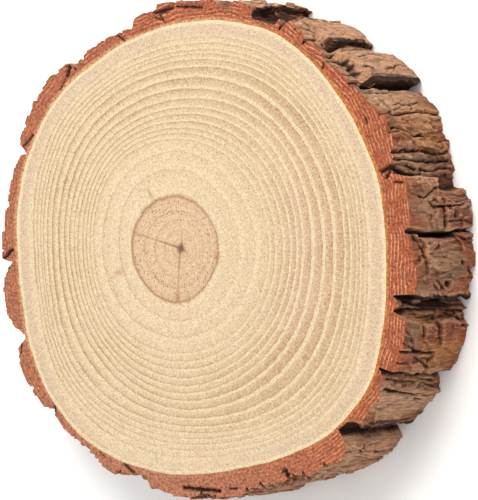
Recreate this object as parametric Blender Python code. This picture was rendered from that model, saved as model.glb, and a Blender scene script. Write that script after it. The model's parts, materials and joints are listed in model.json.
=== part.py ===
# A thick slice sawn straight across a softwood log, with its bark still on.
# It lies on one sawn face and shows the other: +Z points out of the face that is up,
# and +X points to the side where the bark is thickest.
# All sizes are in millimetres until a mesh is made. Angles are in degrees, counterclockwise
# from +X, seen from above and measured round the pith. Depths are measured down from the upper face.

import math

import bmesh
import bpy
import numpy as np

MM = 0.001

THICKNESS = 51.0
CAMBIUM_GAP = 0.3

# The wood's radius from the pith, every 15 degrees from +X
WOOD_RADII = (
    113.0, 113.0, 112.4, 112.6, 113.0, 110.4, 107.6, 105.2,
    104.2, 105.8, 104.4, 102.5, 100.3, 100.8, 104.5, 108.3,
    110.0, 108.5, 107.5, 108.0, 112.3, 118.5, 121.0, 116.5,
)
WOOD_SIDES = 180

# Bark left on the wood at the bottom of a furrow
FURROW_FLOOR = 2.6

# The bark's plates, going round once from the lower left: the two angles that a plate lies between,
# the two depths that it lies between, its distance from the pith at its first edge, its middle and
# its last edge, and how much further out it would be at the base. Plates that share an edge meet in
# a shallow crack, and a space between two is a furrow.
PLATES = (
    (-99.5, -84.0, 0.0, 51.0, 116.4, 118.4, 118.6, 1.2),
    (-84.0, -71.2, 0.0, 51.0, 117.6, 118.8, 120.4, 2.0),
    (-71.2, -60.0, 0.0, 9.0, 121.0, 124.6, 127.0, 0.0),
    (-71.2, -60.6, 9.0, 51.0, 121.4, 123.0, 124.6, -1.5),
    (-60.0, -50.6, 0.0, 9.0, 127.0, 127.4, 128.6, 0.0),
    (-59.4, -50.6, 9.0, 51.0, 126.4, 128.2, 129.4, -0.5),
    (-50.6, -43.8, 0.0, 27.0, 129.6, 131.6, 127.4, 0.5),
    (-50.6, -43.8, 27.0, 51.0, 129.0, 130.0, 128.6, 0.4),
    (-39.6, -31.0, 0.0, 51.0, 127.0, 127.6, 128.8, 1.2),
    (-31.0, -26.6, 0.0, 51.0, 126.4, 125.2, 123.4, 5.0),
    (-25.5, -21.0, 0.0, 27.0, 129.6, 130.2, 130.6, 1.0),
    (-21.0, -14.0, 0.0, 27.0, 131.0, 129.4, 127.8, 2.0),
    (-25.5, -14.0, 27.0, 51.0, 131.4, 132.4, 131.8, 0.6),
    (-14.0, -9.3, 0.0, 51.0, 121.8, 121.4, 121.6, 7.5),
    (-9.3, 3.4, 0.0, 9.0, 130.8, 128.2, 124.2, 1.5),
    (-9.3, 2.4, 9.0, 37.0, 129.8, 130.4, 126.6, 1.6),
    (-9.3, 3.4, 37.0, 51.0, 128.2, 131.6, 128.4, 0.4),
    (3.4, 15.4, 0.0, 27.0, 125.0, 125.8, 126.4, 3.0),
    (3.4, 12.2, 27.0, 51.0, 128.8, 130.8, 126.8, 0.4),
    (12.2, 15.4, 27.0, 51.0, 122.8, 122.2, 122.0, 0.3),
    (15.4, 20.4, 0.0, 51.0, 122.2, 123.4, 124.2, 2.0),
    (20.4, 28.8, 0.0, 51.0, 125.6, 126.6, 128.6, 1.6),
    (28.8, 38.6, 0.0, 9.0, 125.6, 123.4, 121.4, 2.0),
    (28.8, 37.0, 9.0, 37.0, 127.0, 124.6, 122.2, 2.6),
    (28.8, 37.0, 37.0, 51.0, 127.8, 126.2, 123.2, 0.6),
    (38.6, 46.2, 0.0, 9.0, 121.0, 120.2, 118.4, 1.0),
    (38.2, 49.4, 9.0, 51.0, 126.6, 125.6, 121.8, 2.0),
    (46.2, 53.4, 0.0, 9.0, 118.6, 118.8, 118.8, 0.5),
    (54.2, 60.4, 0.0, 9.0, 120.0, 121.0, 122.0, 0.5),
    (51.6, 60.4, 9.0, 51.0, 121.8, 123.4, 123.4, 1.4),
    (61.8, 75.6, 0.0, 51.0, 121.0, 118.2, 120.2, 3.6),
    (75.6, 79.6, 0.0, 51.0, 115.0, 115.0, 115.4, 2.0),
    (79.6, 92.0, 0.0, 51.0, 117.2, 117.4, 117.0, 2.0),
    (92.0, 104.6, 0.0, 27.0, 117.0, 116.6, 114.8, 1.6),
    (92.0, 104.6, 27.0, 51.0, 116.4, 116.0, 113.6, 1.0),
    (104.6, 114.2, 0.0, 51.0, 109.4, 110.2, 111.2, 1.6),
    (114.2, 125.4, 0.0, 37.0, 111.4, 110.8, 110.0, 1.6),
    (114.2, 125.4, 37.0, 51.0, 112.6, 113.4, 111.8, 0.5),
    (126.2, 147.2, 0.0, 27.0, 113.0, 116.0, 113.0, 1.4),
    (126.2, 136.4, 27.0, 51.0, 113.4, 116.6, 116.0, 1.0),
    (136.4, 147.2, 27.0, 51.0, 113.2, 114.4, 112.2, 1.0),
    (147.2, 152.8, 0.0, 37.0, 112.8, 112.2, 110.4, 1.2),
    (153.8, 168.4, 0.0, 51.0, 108.4, 109.2, 109.2, 2.4),
    (168.4, 183.0, 0.0, 27.0, 109.6, 109.2, 109.8, 1.5),
    (168.4, 176.0, 27.0, 51.0, 111.0, 111.6, 109.8, 0.5),
    (176.8, 183.0, 27.0, 51.0, 109.4, 110.0, 110.4, 0.5),
    (184.2, 204.2, 0.0, 37.0, 105.0, 111.4, 106.6, 2.0),
    (184.2, 204.2, 37.0, 51.0, 108.2, 111.8, 109.8, 0.5),
    (206.0, 225.4, 0.0, 51.0, 112.2, 114.6, 113.4, 1.8),
    (226.6, 237.4, 0.0, 27.0, 111.4, 113.0, 112.2, 2.0),
    (226.6, 237.4, 27.0, 51.0, 113.8, 116.0, 114.4, 1.0),
    (237.4, 251.8, 0.0, 51.0, 112.4, 114.6, 115.4, 2.0),
    (251.8, 260.5, 0.0, 9.0, 112.6, 112.4, 112.6, 0.5),
    (251.8, 260.5, 9.0, 51.0, 114.0, 115.2, 114.4, 1.6),
)

# How a plate's edge rounds down into a crack: the width of the rounding along the rim and
# into the depth, and the share of the plate's height that is left at its very edge
SHOULDER_ANGLE = 0.6
SHOULDER_DEPTH = 1.2
EDGE_SHARE = 0.76

# The furrows wander sideways as they run down the rim, and the plates' faces are uneven
WANDER_ANGLE = 0.7
WANDER_WAVES = 5
LUMP_HEIGHT = 0.5
LUMP_WAVES = 41
LUMP_BENDS = 13
LUMP_SPACING = 19.0
LUMP_SLANT = 2.0

# Longest cells of the bark's surface, round the rim and down it
CELL_ANGLE = 3.2
CELL_DEPTH = 5.2

# Edges of the bark sharper than this are shaded as edges
SHARP_ANGLE = 35.0

WOOD_COLOUR = (0.72, 0.51, 0.31, 1.0)
WOOD_ROUGHNESS = 0.75
BARK_COLOUR = (0.27, 0.13, 0.07, 1.0)
BARK_ROUGHNESS = 0.9


def clear_scene():
    for item in list(bpy.data.objects):
        bpy.data.objects.remove(item, do_unlink=True)


def wood_radius(angles):
    """The wood's radius at these angles: a smooth closed curve through the measured radii."""
    places = np.asarray(angles, float) / (360.0 / len(WOOD_RADII))
    before = np.floor(places).astype(int)
    t = places - before
    radii = np.array(WOOD_RADII)
    a, b, c, d = (radii[(before + offset) % len(radii)] for offset in (-1, 0, 1, 2))
    slope_b, slope_c = (c - a) / 2, (d - b) / 2
    rest = 1 - t
    return rest**2 * ((1 + 2 * t) * b + t * slope_b) + t**2 * ((1 + 2 * rest) * c - rest * slope_c)


def stations(spans, shoulder, longest, start, end):
    """Places to cut the surface along one direction: on and beside each edge, and between them."""
    marks = {start, end}
    for first, last in spans:
        for edge in (first, last):
            marks.update(round(edge + side, 3) for side in (-shoulder, 0.0, shoulder))
    marks = sorted(mark for mark in marks if start <= mark <= end)
    places = []
    for low, high in zip(marks, marks[1:]):
        count = math.ceil((high - low) / longest)
        places += [low + (high - low) * i / count for i in range(count)]
    return places


def rounded(inward, width):
    """A plate's height as a share, at this distance inside its edge."""
    share = np.clip(inward / width, 0.0, 1.0)
    return EDGE_SHARE + (1 - EDGE_SHARE) * (1 - (1 - share) ** 2)


def bark_reach(angles, depths):
    """The bark's distance from the pith, for each angle and each depth."""
    angle, depth = np.meshgrid(angles, depths, indexing="ij")
    turn = np.radians(angle)
    wood = wood_radius(angle) + CAMBIUM_GAP
    thickness = np.full(angle.shape, FURROW_FLOOR)
    lumps = np.sin(LUMP_WAVES * turn) * np.cos(
        math.tau * depth / LUMP_SPACING + LUMP_SLANT * np.sin(LUMP_BENDS * turn)
    )
    lumps *= LUMP_HEIGHT * np.minimum(depth / CELL_DEPTH, 1.0)
    for first, last, near, far, at_first, at_middle, at_last, flare in PLATES:
        along = np.clip((angle - first) / (last - first), 0.0, 1.0)
        bow = 4 * (at_middle - (at_first + at_last) / 2)
        reach = at_first + (at_last - at_first) * along + bow * along * (1 - along)
        reach += flare * np.sin(math.pi / 2 * depth / THICKNESS) + lumps
        height = reach - wood
        height *= rounded(np.minimum(angle - first, last - angle), SHOULDER_ANGLE)
        if near > 0:
            height *= rounded(depth - near, SHOULDER_DEPTH)
        if far < THICKNESS:
            height *= rounded(far - depth, SHOULDER_DEPTH)
        inside = (angle >= first) & (angle <= last) & (depth >= near) & (depth <= far)
        thickness = np.where(inside, np.maximum(thickness, height), thickness)
    return wood + thickness


def points_round(angles, radii, height):
    turn = np.radians(angles)
    return np.stack([radii * np.cos(turn), radii * np.sin(turn), np.full(len(turn), height)], axis=1)


def bark_loops():
    """The loops that the bark's surface runs through: up its outside, then down against the wood."""
    turn_start = PLATES[0][0]
    angles = np.array(
        stations([plate[:2] for plate in PLATES], SHOULDER_ANGLE, CELL_ANGLE, turn_start, turn_start + 360)
    )
    depths = stations([plate[2:4] for plate in PLATES], SHOULDER_DEPTH, CELL_DEPTH, 0.0, THICKNESS)
    depths = np.array(depths + [THICKNESS])
    reach = bark_reach(angles, depths)
    loops = []
    for column, depth in reversed(list(enumerate(depths))):
        wander = WANDER_ANGLE * depth / THICKNESS * np.sin(np.radians(WANDER_WAVES * angles))
        loops.append(points_round(angles + wander, reach[:, column], THICKNESS - depth))
    for height in (THICKNESS, 0.0):
        loops.append(points_round(angles, wood_radius(angles) + CAMBIUM_GAP, height))
    return loops


def ring_mesh(name, loops):
    """A closed ring whose surface runs through the loops in turn and back to the first."""
    shape = bmesh.new()
    rows = [[shape.verts.new(point * MM) for point in loop] for loop in loops]
    for lower, upper in zip(rows, rows[1:] + rows[:1]):
        for i in range(len(lower)):
            shape.faces.new((lower[i - 1], lower[i], upper[i], upper[i - 1]))
    bmesh.ops.recalc_face_normals(shape, faces=shape.faces)
    return finished_mesh(name, shape)


def disc_mesh(name, outline):
    """A flat board of this outline, from the base up to the upper face."""
    shape = bmesh.new()
    face = shape.faces.new([shape.verts.new(point * MM) for point in outline])
    grown = bmesh.ops.extrude_face_region(shape, geom=[face])["geom"]
    risen = [part for part in grown if isinstance(part, bmesh.types.BMVert)]
    bmesh.ops.translate(shape, verts=risen, vec=(0.0, 0.0, THICKNESS * MM))
    shape.faces.ensure_lookup_table()
    bmesh.ops.poke(shape, faces=[part for part in shape.faces if len(part.verts) == len(outline)])
    bmesh.ops.recalc_face_normals(shape, faces=shape.faces)
    return finished_mesh(name, shape)


def finished_mesh(name, shape):
    mesh = bpy.data.meshes.new(name)
    shape.to_mesh(mesh)
    shape.free()
    return mesh


def material(name, colour, roughness):
    made = bpy.data.materials.new(name)
    made.use_nodes = True
    shader = made.node_tree.nodes["Principled BSDF"]
    shader.inputs["Base Color"].default_value = colour
    shader.inputs["Roughness"].default_value = roughness
    shader.inputs["Metallic"].default_value = 0.0
    return made


def add_object(mesh, finish, centre):
    """An object that holds this mesh, moved so that the slice stands centred on the origin."""
    made = bpy.data.objects.new(mesh.name, mesh)
    made.data.materials.append(finish)
    made.location = (-centre[0] * MM, -centre[1] * MM, 0.0)
    bpy.context.collection.objects.link(made)
    return made


def main():
    clear_scene()
    loops = bark_loops()
    points = np.concatenate(loops)
    centre = (points.min(axis=0) + points.max(axis=0)) / 2
    rim = np.arange(WOOD_SIDES) * 360.0 / WOOD_SIDES
    outline = points_round(rim, wood_radius(rim), 0.0)
    wood = disc_mesh("wood", outline)
    bark = ring_mesh("bark", loops)
    bark.shade_smooth()
    bark.set_sharp_from_angle(angle=math.radians(SHARP_ANGLE))
    add_object(wood, material("sawn_wood", WOOD_COLOUR, WOOD_ROUGHNESS), centre)
    add_object(bark, material("bark", BARK_COLOUR, BARK_ROUGHNESS), centre)


main()
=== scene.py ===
import json
import math

import bpy
import numpy as np
from mathutils import Matrix, Vector
from mathutils.bvhtree import BVHTree


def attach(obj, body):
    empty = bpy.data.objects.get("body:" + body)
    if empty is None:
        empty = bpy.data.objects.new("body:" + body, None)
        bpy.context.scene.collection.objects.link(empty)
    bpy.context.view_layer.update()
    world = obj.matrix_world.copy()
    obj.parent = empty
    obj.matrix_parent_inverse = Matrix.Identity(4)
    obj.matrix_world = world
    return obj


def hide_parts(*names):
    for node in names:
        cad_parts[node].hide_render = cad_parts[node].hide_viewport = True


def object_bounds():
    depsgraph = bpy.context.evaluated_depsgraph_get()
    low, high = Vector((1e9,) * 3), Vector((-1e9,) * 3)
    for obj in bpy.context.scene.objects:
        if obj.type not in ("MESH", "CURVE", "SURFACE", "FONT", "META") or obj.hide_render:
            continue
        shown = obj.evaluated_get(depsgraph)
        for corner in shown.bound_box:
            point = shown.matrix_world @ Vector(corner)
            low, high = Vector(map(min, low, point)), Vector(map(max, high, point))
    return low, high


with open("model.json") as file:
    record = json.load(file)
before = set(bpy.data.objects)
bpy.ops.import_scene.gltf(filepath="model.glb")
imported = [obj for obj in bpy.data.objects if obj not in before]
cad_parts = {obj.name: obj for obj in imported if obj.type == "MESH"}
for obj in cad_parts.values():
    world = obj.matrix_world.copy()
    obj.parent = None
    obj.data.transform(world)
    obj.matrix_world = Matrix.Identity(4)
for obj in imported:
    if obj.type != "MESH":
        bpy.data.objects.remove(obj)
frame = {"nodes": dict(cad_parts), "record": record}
solid_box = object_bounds()


# The photographer's place. The lens looks down on the slice from 34 degrees off the tree's axis,
# a little over a metre away, so the sawn face and the bark of the right-hand side both show.

# Sizes are in millimetres, and places are measured from the pith on the upper sawn face.
MM = 0.001
sawn_face = next(mount for mount in frame["record"]["mounts"] if mount["name"] == "sawn_face")
PITH_X, PITH_Y, TOP = (value / MM for value in sawn_face["pos_m"])
TILT = math.radians(34.0)
LENS_DISTANCE = 1100.0
LENS_MM = 166.3
# How far the lens stands to the right of the pith and below it, as seen in the picture.
ASIDE = 27.86
BELOW = 0.714
NEAR_CLIP, FAR_CLIP = 50.0, 20000.0

towards_lens = np.array([math.sin(TILT), 0.0, math.cos(TILT)])
picture_right = np.array([math.cos(TILT), 0.0, -math.sin(TILT)])
picture_up = np.array([0.0, 1.0, 0.0])
pith = np.array([PITH_X, PITH_Y, TOP])
lens_place = pith + ASIDE * picture_right - BELOW * picture_up + LENS_DISTANCE * towards_lens

bpy.ops.object.select_all(action="DESELECT")
bpy.ops.object.camera_add(location=lens_place * MM)
camera = bpy.context.object
camera.name = "camera"
camera.matrix_world = Matrix.Translation(lens_place * MM) @ Matrix(
    np.stack([picture_right, picture_up, towards_lens], 1)).to_4x4()
camera.data.lens = LENS_MM
camera.data.clip_start = NEAR_CLIP * MM
camera.data.clip_end = FAR_CLIP * MM
bpy.context.scene.camera = camera


# The studio: a matt white table top, one soft lamp high beyond the slice's far side, and even
# white light from the walls all round, as for a catalogue picture. Its sizes are in metres.
TABLE_WIDTH = 8.0
LAMP_PLACE = (0.20, 1.10, 1.35)
LAMP_WIDTH = 0.8
LAMP_WATTS = 24.0
LAMP_COLOUR = (1.0, 0.985, 0.96)
ROOM_COLOUR = (1.0, 1.0, 1.0, 1.0)
ROOM_LIGHT = 0.95


def linear(hex_colour):
    """The linear light of an sRGB colour written as six hex digits."""
    values = np.array([int(hex_colour[i:i + 2], 16) / 255 for i in (0, 2, 4)])
    low = values / 12.92
    high = ((values + 0.055) / 1.055) ** 2.4
    return (*np.where(values <= 0.04045, low, high), 1.0)


def add_node(material, kind, inputs=(), output=0, stops=(), **settings):
    """Adds a shader node and gives one of its outputs. Inputs are named or in the node's order,
    each a number, a colour or another node's output. Stops are a ramp's places and colours."""
    node = material.node_tree.nodes.new("ShaderNode" + kind)
    for name, value in settings.items():
        setattr(node, name, value)
    for name, value in inputs.items() if isinstance(inputs, dict) else enumerate(inputs):
        if isinstance(value, bpy.types.NodeSocket):
            material.node_tree.links.new(value, node.inputs[name])
        else:
            node.inputs[name].default_value = value
    for index, (spot, colour) in enumerate(stops):
        ramp = node.color_ramp.elements
        stop = ramp[index] if index < 2 else ramp.new(spot)
        stop.position, stop.color = spot, colour
    return node.outputs[output] if len(node.outputs) else None


def new_material(name):
    """A material without any nodes yet."""
    material = bpy.data.materials.new(name)
    material.use_nodes = True
    material.node_tree.nodes.clear()
    return material


bpy.ops.mesh.primitive_plane_add(size=TABLE_WIDTH)
table_top = bpy.context.object
table_top.name = "table_top"
# White laminate with a rubbed finish: an even, faintly warm white that mirrors nothing.
white_laminate = new_material("white_laminate")
surface = add_node(white_laminate, "BsdfPrincipled",
                   {"Base Color": linear("F7F6F4"), "Roughness": 0.7})
add_node(white_laminate, "OutputMaterial", {"Surface": surface})
table_top.data.materials.append(white_laminate)

bpy.ops.object.light_add(type="AREA", location=LAMP_PLACE)
lamp = bpy.context.object
lamp.name = "soft_lamp"
lamp.data.size = LAMP_WIDTH
lamp.data.energy = LAMP_WATTS
lamp.data.color = LAMP_COLOUR
lamp.rotation_mode = "QUATERNION"
lamp.rotation_quaternion = (-lamp.location).to_track_quat("-Z", "Y")

room = bpy.data.worlds.new("room")
room.use_nodes = True
room.node_tree.nodes["Background"].inputs["Color"].default_value = ROOM_COLOUR
room.node_tree.nodes["Background"].inputs["Strength"].default_value = ROOM_LIGHT
bpy.context.scene.world = room
bpy.context.scene.view_settings.view_transform = "Standard"


# The wood: a cross-cut disc of pale softwood, sawn flat on both faces and still unsanded. It is
# turned out of a ball pressed flat between the two saw cuts, and its rim follows the CAD outline.

# How finely it is drawn: spokes, and rings across its face, down its rim and across its base.
SPOKES = 540
FACE_RINGS = 108
RIM_RINGS = 6
BASE_RINGS = 48
# Distance from the pith to the outer edge of each year's growth, every 45 degrees from +X.
RING_RADII = (
    (5.0, 9.5, 14.0, 18.0, 21.8, 34.0, 42.8, 50.5, 53.8, 58.0, 62.0, 65.5, 68.3, 73.6, 79.6,
     85.4, 91.3, 94.2, 97.6, 99.3, 101.8, 103.5, 110.5, 113.0),
    (5.0, 9.5, 14.0, 18.0, 22.0, 34.2, 42.4, 50.8, 54.2, 57.8, 61.6, 66.0, 69.8, 74.8, 78.8,
     85.0, 91.4, 94.8, 97.4, 99.6, 102.4, 104.4, 110.8, 112.6),
    (5.0, 9.5, 14.0, 18.0, 24.8, 37.8, 46.3, 52.5, 55.2, 57.6, 60.8, 64.4, 67.2, 71.6, 76.4,
     81.6, 86.6, 90.4, 93.2, 95.2, 98.4, 101.6, 107.6, 109.4),
    (5.0, 9.5, 15.0, 20.0, 28.0, 40.2, 48.4, 55.8, 58.0, 60.4, 62.8, 65.2, 68.2, 71.8, 75.8,
     80.2, 85.4, 88.6, 91.0, 93.4, 96.2, 98.8, 104.4, 106.4),
    (5.0, 10.0, 15.5, 21.5, 29.0, 36.6, 47.0, 52.4, 54.6, 56.8, 59.0, 62.2, 64.4, 67.2, 70.2,
     74.0, 78.0, 81.2, 83.8, 85.2, 87.6, 89.4, 98.0, 100.3),
    (5.0, 10.0, 15.0, 20.5, 27.0, 35.4, 44.7, 52.2, 55.0, 57.6, 60.2, 63.4, 65.6, 68.6, 72.2,
     77.6, 84.0, 87.4, 90.4, 92.6, 95.2, 98.0, 106.2, 108.3),
    (5.0, 9.5, 14.5, 19.0, 26.0, 34.6, 42.5, 50.0, 53.8, 57.4, 61.6, 65.4, 68.8, 72.4, 76.4,
     80.4, 84.4, 87.4, 90.4, 93.0, 96.0, 99.4, 106.0, 107.6),
    (5.0, 9.5, 14.0, 18.0, 22.6, 34.0, 42.0, 50.5, 54.0, 58.0, 62.0, 65.6, 69.2, 74.4, 80.2,
     87.6, 93.4, 98.2, 100.6, 104.2, 107.4, 109.4, 116.6, 118.5),
)
# How dark the late wood of each year is.
RING_TONES = (0.30, 0.28, 0.30, 0.35, 0.55, 0.22, 0.24, 0.30, 0.50, 0.55, 0.62, 0.80, 0.60, 0.85,
              0.92, 1.00, 0.95, 0.80, 0.62, 0.62, 0.55, 0.50, 0.42, 0.10)
# Drying cracks that run out of the pith: distance and angle of both ends, and width.
CHECKS = ((1.5, 168.0, 29.5, 165.0, 0.55), (2.0, 255.0, 25.0, 265.5, 0.5),
          (1.0, 60.0, 8.0, 85.0, 0.4), (1.0, -20.0, 6.0, -35.0, 0.4))
CHECK_DEPTH = 0.5
CHECK_WANDER, CHECK_BENDS = 0.35, 9.0
# Reddish resin marks: distance and angle of the middle, length along the spoke, width.
RESIN_MARKS = ((38.6, 197.5, 4.5, 1.6), (32.0, 124.0, 5.5, 1.0), (23.5, 266.0, 5.0, 1.6),
               (21.5, -10.0, 3.0, 2.0))
# The wood's edge wavers by 0.4 mm as it grew: how far, how many times round, and from where.
EDGE_WAVES = ((0.22, 7, 0.4), (0.14, 23, 1.2), (0.07, 61, 0.0))
# Where the saw has torn the fibres and the years hardly show: the angle, how far it reaches
# either way in degrees, how far from the pith it starts, and over what distance it grows.
TORN_ANGLE, TORN_HALF, TORN_FROM, TORN_OVER = 262, 32, 66, 34
# Wood grown on the side of the thick bark is pinkest at this distance, over this half width.
PINKEST, PINK_HALF = 74, 22
WOOD_CREASE = math.radians(35)


def loop_at(values, angles):
    """Reads a list that goes once round the trunk at the given angles, on a smooth curve."""
    values = np.asarray(values, float)
    places = np.asarray(angles, float) / (360.0 / len(values))
    before = np.floor(places).astype(int)
    t = places - before
    a, b, c, d = (values[(before + step) % len(values)] for step in (-1, 0, 1, 2))
    slope_b = (c - a) / 2
    slope_c = (d - b) / 2
    rest = 1 - t
    return (rest**2 * ((1 + 2 * t) * b + t * slope_b)
            + t**2 * ((1 + 2 * rest) * c - rest * slope_c))


def turn_from(angle, angles):
    """The turns from one angle to others, in degrees from -180 to 180."""
    return (angles - angle + 180) % 360 - 180


def on_spoke(distance, angle):
    """The place at a distance from the pith and an angle, as x and y from the pith."""
    turn = math.radians(angle)
    return distance * math.cos(turn), distance * math.sin(turn)


def beside_line(x, y, end_x, end_y):
    """How far along a line from 0, 0 to its end points lie, from 0 to 1, and how far off it."""
    along = np.clip((x * end_x + y * end_y) / (end_x**2 + end_y**2), 0, 1)
    return along, np.hypot(x - along * end_x, y - along * end_y)


def polar(points):
    """Angles in degrees, distances and depths below the upper face of points given in metres."""
    x = points[:, 0] / MM - PITH_X
    y = points[:, 1] / MM - PITH_Y
    return np.degrees(np.arctan2(y, x)) % 360, np.hypot(x, y), TOP - points[:, 2] / MM


def cartesian(angles, radii, depths):
    """Points in metres for angles in degrees, distances from the pith and depths."""
    turns = np.radians(angles)
    x = PITH_X + radii * np.cos(turns)
    y = PITH_Y + radii * np.sin(turns)
    return np.stack([x, y, TOP - depths], 1) * MM


def mesh_points(mesh):
    """The places of a mesh's points as an array of rows."""
    values = np.zeros(len(mesh.vertices) * 3, np.float32)
    mesh.vertices.foreach_get("co", values)
    return values.reshape(-1, 3).astype(float)


def move_points(mesh, points):
    """Puts a mesh's points where the rows of an array say."""
    mesh.vertices.foreach_set("co", np.asarray(points, np.float32).ravel())
    mesh.update()


def write_attributes(mesh, **attributes):
    """Keeps numbers for each point of the mesh, by name, for its material to read."""
    for name, values in attributes.items():
        attribute = mesh.attributes.new(name, "FLOAT", "POINT")
        attribute.data.foreach_set("value", np.asarray(values, np.float32))


solid_angles, solid_radii, _ = polar(mesh_points(frame["nodes"]["wood"].data))
rim = solid_radii > solid_radii.max() / 2
rim_order = np.argsort(solid_angles[rim])


def wood_edge(angles):
    """Distance from the pith to the edge of the wood: the CAD disc's, with the waver."""
    turns = np.radians(angles)
    waver = sum(reach * np.sin(times * turns + start) for reach, times, start in EDGE_WAVES)
    return np.interp(np.asarray(angles) % 360, solid_angles[rim][rim_order],
                     solid_radii[rim][rim_order], period=360) + waver


def growth(angles, radii):
    """How many years' growth lies between the pith and each point, as a number with a fraction,
    and how wide that year's growth is there. The outer years are fitted to the wood's edge."""
    edge = wood_edge(angles)
    rows = np.array([loop_at(column, angles) for column in np.array(RING_RADII).T])
    share = np.linspace(0.0, 1.0, len(rows))[:, None] ** 3
    rows = rows + share * (edge - rows[-1])
    rows[-1] = edge
    rows = np.concatenate([np.zeros((1, len(edge))), rows])
    years = np.zeros(len(radii))
    widths = np.zeros(len(radii))
    for inner, outer in zip(rows, rows[1:]):
        years += np.clip((radii - inner) / (outer - inner), 0.0, 1.0)
        widths = np.where(radii >= inner, outer - inner, widths)
    return years, widths


ball_rings = FACE_RINGS + RIM_RINGS + BASE_RINGS
bpy.ops.object.select_all(action="DESELECT")
bpy.ops.mesh.primitive_uv_sphere_add(segments=SPOKES, ring_count=ball_rings, radius=1.0)
wood = bpy.context.object
wood.name = "wood_disc"
ball = mesh_points(wood.data)
ring = np.round(np.degrees(np.arccos(np.clip(ball[:, 2], -1, 1))) / 180 * ball_rings)
angles = np.degrees(np.arctan2(ball[:, 1], ball[:, 0])) % 360
out = np.where(ring <= FACE_RINGS, ring / FACE_RINGS, 1.0)
out = np.where(ring >= FACE_RINGS + RIM_RINGS, (ball_rings - ring) / BASE_RINGS, out)
depths = np.clip((ring - FACE_RINGS) / RIM_RINGS, 0, 1) * TOP
radii = out * wood_edge(angles)
points = cartesian(angles, radii, depths)

turns = np.radians(angles)
x, y = radii * np.cos(turns), radii * np.sin(turns)
cracks = np.zeros(len(radii))
for near, near_angle, far, far_angle, width in CHECKS:
    (start_x, start_y), (end_x, end_y) = on_spoke(near, near_angle), on_spoke(far, far_angle)
    along, aside = beside_line(x - start_x, y - start_y, end_x - start_x, end_y - start_y)
    wander = CHECK_WANDER * np.sin(along * CHECK_BENDS) * along
    cracks = np.maximum(cracks, (1 - 0.6 * along) * np.exp(-((aside - wander) / width) ** 2))
resin = np.zeros(len(radii))
for distance, angle, length, width in RESIN_MARKS:
    aside = np.radians(turn_from(angle, angles)) * distance
    outward = (radii - distance) / length * 1.6
    resin = np.maximum(resin, np.exp(-(aside / width) ** 2 - outward**2))
points[:, 2] -= np.where(depths == 0, cracks * CHECK_DEPTH * MM, 0)
move_points(wood.data, points)

ring_years, ring_widths = growth(angles, radii)
torn = np.exp(-(turn_from(TORN_ANGLE, angles) / TORN_HALF) ** 2)
torn *= np.clip((radii - TORN_FROM) / TORN_OVER, 0, 1)
tone = np.interp(ring_years, np.arange(len(RING_TONES)) + 0.5, RING_TONES)
pink = np.clip(1.6 * np.cos(turns) - 0.7, 0, 1) * np.exp(-((radii - PINKEST) / PINK_HALF) ** 2)
write_attributes(
    wood.data,
    years=ring_years,
    year_width=ring_widths,
    tone=tone * (1 - 0.55 * torn) * (1 - 0.2 * np.sin(turns) ** 2),
    narrow=np.clip(0.45 - 0.75 * np.cos(turns), 0, 1),
    pink=pink,
    torn=torn,
    cracks=np.where(depths < 1, cracks, 0),
    resin=np.where(depths < 1, resin, 0),
    from_pith=radii,
    from_bark=wood_edge(angles) - radii)

bpy.ops.object.mode_set(mode="EDIT")
bpy.ops.mesh.select_all(action="SELECT")
bpy.ops.mesh.normals_make_consistent(inside=False)
bpy.ops.object.mode_set(mode="OBJECT")
bpy.ops.object.shade_smooth_by_angle(angle=WOOD_CREASE)

# How brown a year's wood is from its start to its end: on the side of the thick bark, where the
# late wood is broad, and opposite, where it is a narrow darker line.
BROAD_LATE_WOOD = ((0.0, 0.4), (0.04, 0.0), (0.27, 0.0), (0.34, 0.68), (0.50, 0.62), (0.60, 0.85),
                   (0.76, 0.78), (0.95, 1.0), (1.0, 0.9))
NARROW_LATE_WOOD = ((0.0, 0.5), (0.06, 0.0), (0.42, 0.08), (0.60, 0.42), (0.76, 0.55),
                    (0.86, 1.0), (0.96, 1.0), (1.0, 0.7))
# The heart is the growth of this many years.
HEART_YEARS = 5.0
# Rays are drawn 0.6 mm wide at 90 mm from the pith, as coarse as they need to be to show.
RAY_WIDTH, RAY_DISTANCE = 0.6, 90.0


def grains(size):
    """A texture's scale for a pattern whose grains are this many millimetres wide."""
    return 1 / (size * MM)


# Sawn pine end grain: dry, matt and open, cream early wood that browns towards each year's late
# wood and ends there at once, rays that cross the rings, and a pinker heart with dark resin dots.
end_grain = new_material("sawn_pine_end_grain")
place = add_node(end_grain, "TexCoord", output="Object")
years, year_width, tone, narrow, pink, torn, crack, resin_mark, from_pith, from_bark = (
    add_node(end_grain, "Attribute", output="Fac", attribute_name=name)
    for name in ("years", "year_width", "tone", "narrow", "pink", "torn", "cracks", "resin",
                 "from_pith", "from_bark"))

# A year's line isn't drawn with a compass: it wavers by a fraction of a millimetre.
waver = add_node(end_grain, "TexNoise",
                 {"Vector": place, "Scale": grains(4.545), "Detail": 4.0, "Roughness": 0.6})
waver = add_node(end_grain, "Math", (waver, 0.5), operation="SUBTRACT")
years = add_node(end_grain, "Math", (waver, 0.3, years), operation="MULTIPLY_ADD")
season = add_node(end_grain, "Math", (years,), operation="FRACT")
broad_late, narrow_late = (
    add_node(end_grain, "ValToRGB", (season,),
             stops=[(spot, (brown, brown, brown, 1.0)) for spot, brown in year])
    for year in (BROAD_LATE_WOOD, NARROW_LATE_WOOD))
late = add_node(end_grain, "MixRGB", (narrow, broad_late, narrow_late))

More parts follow.
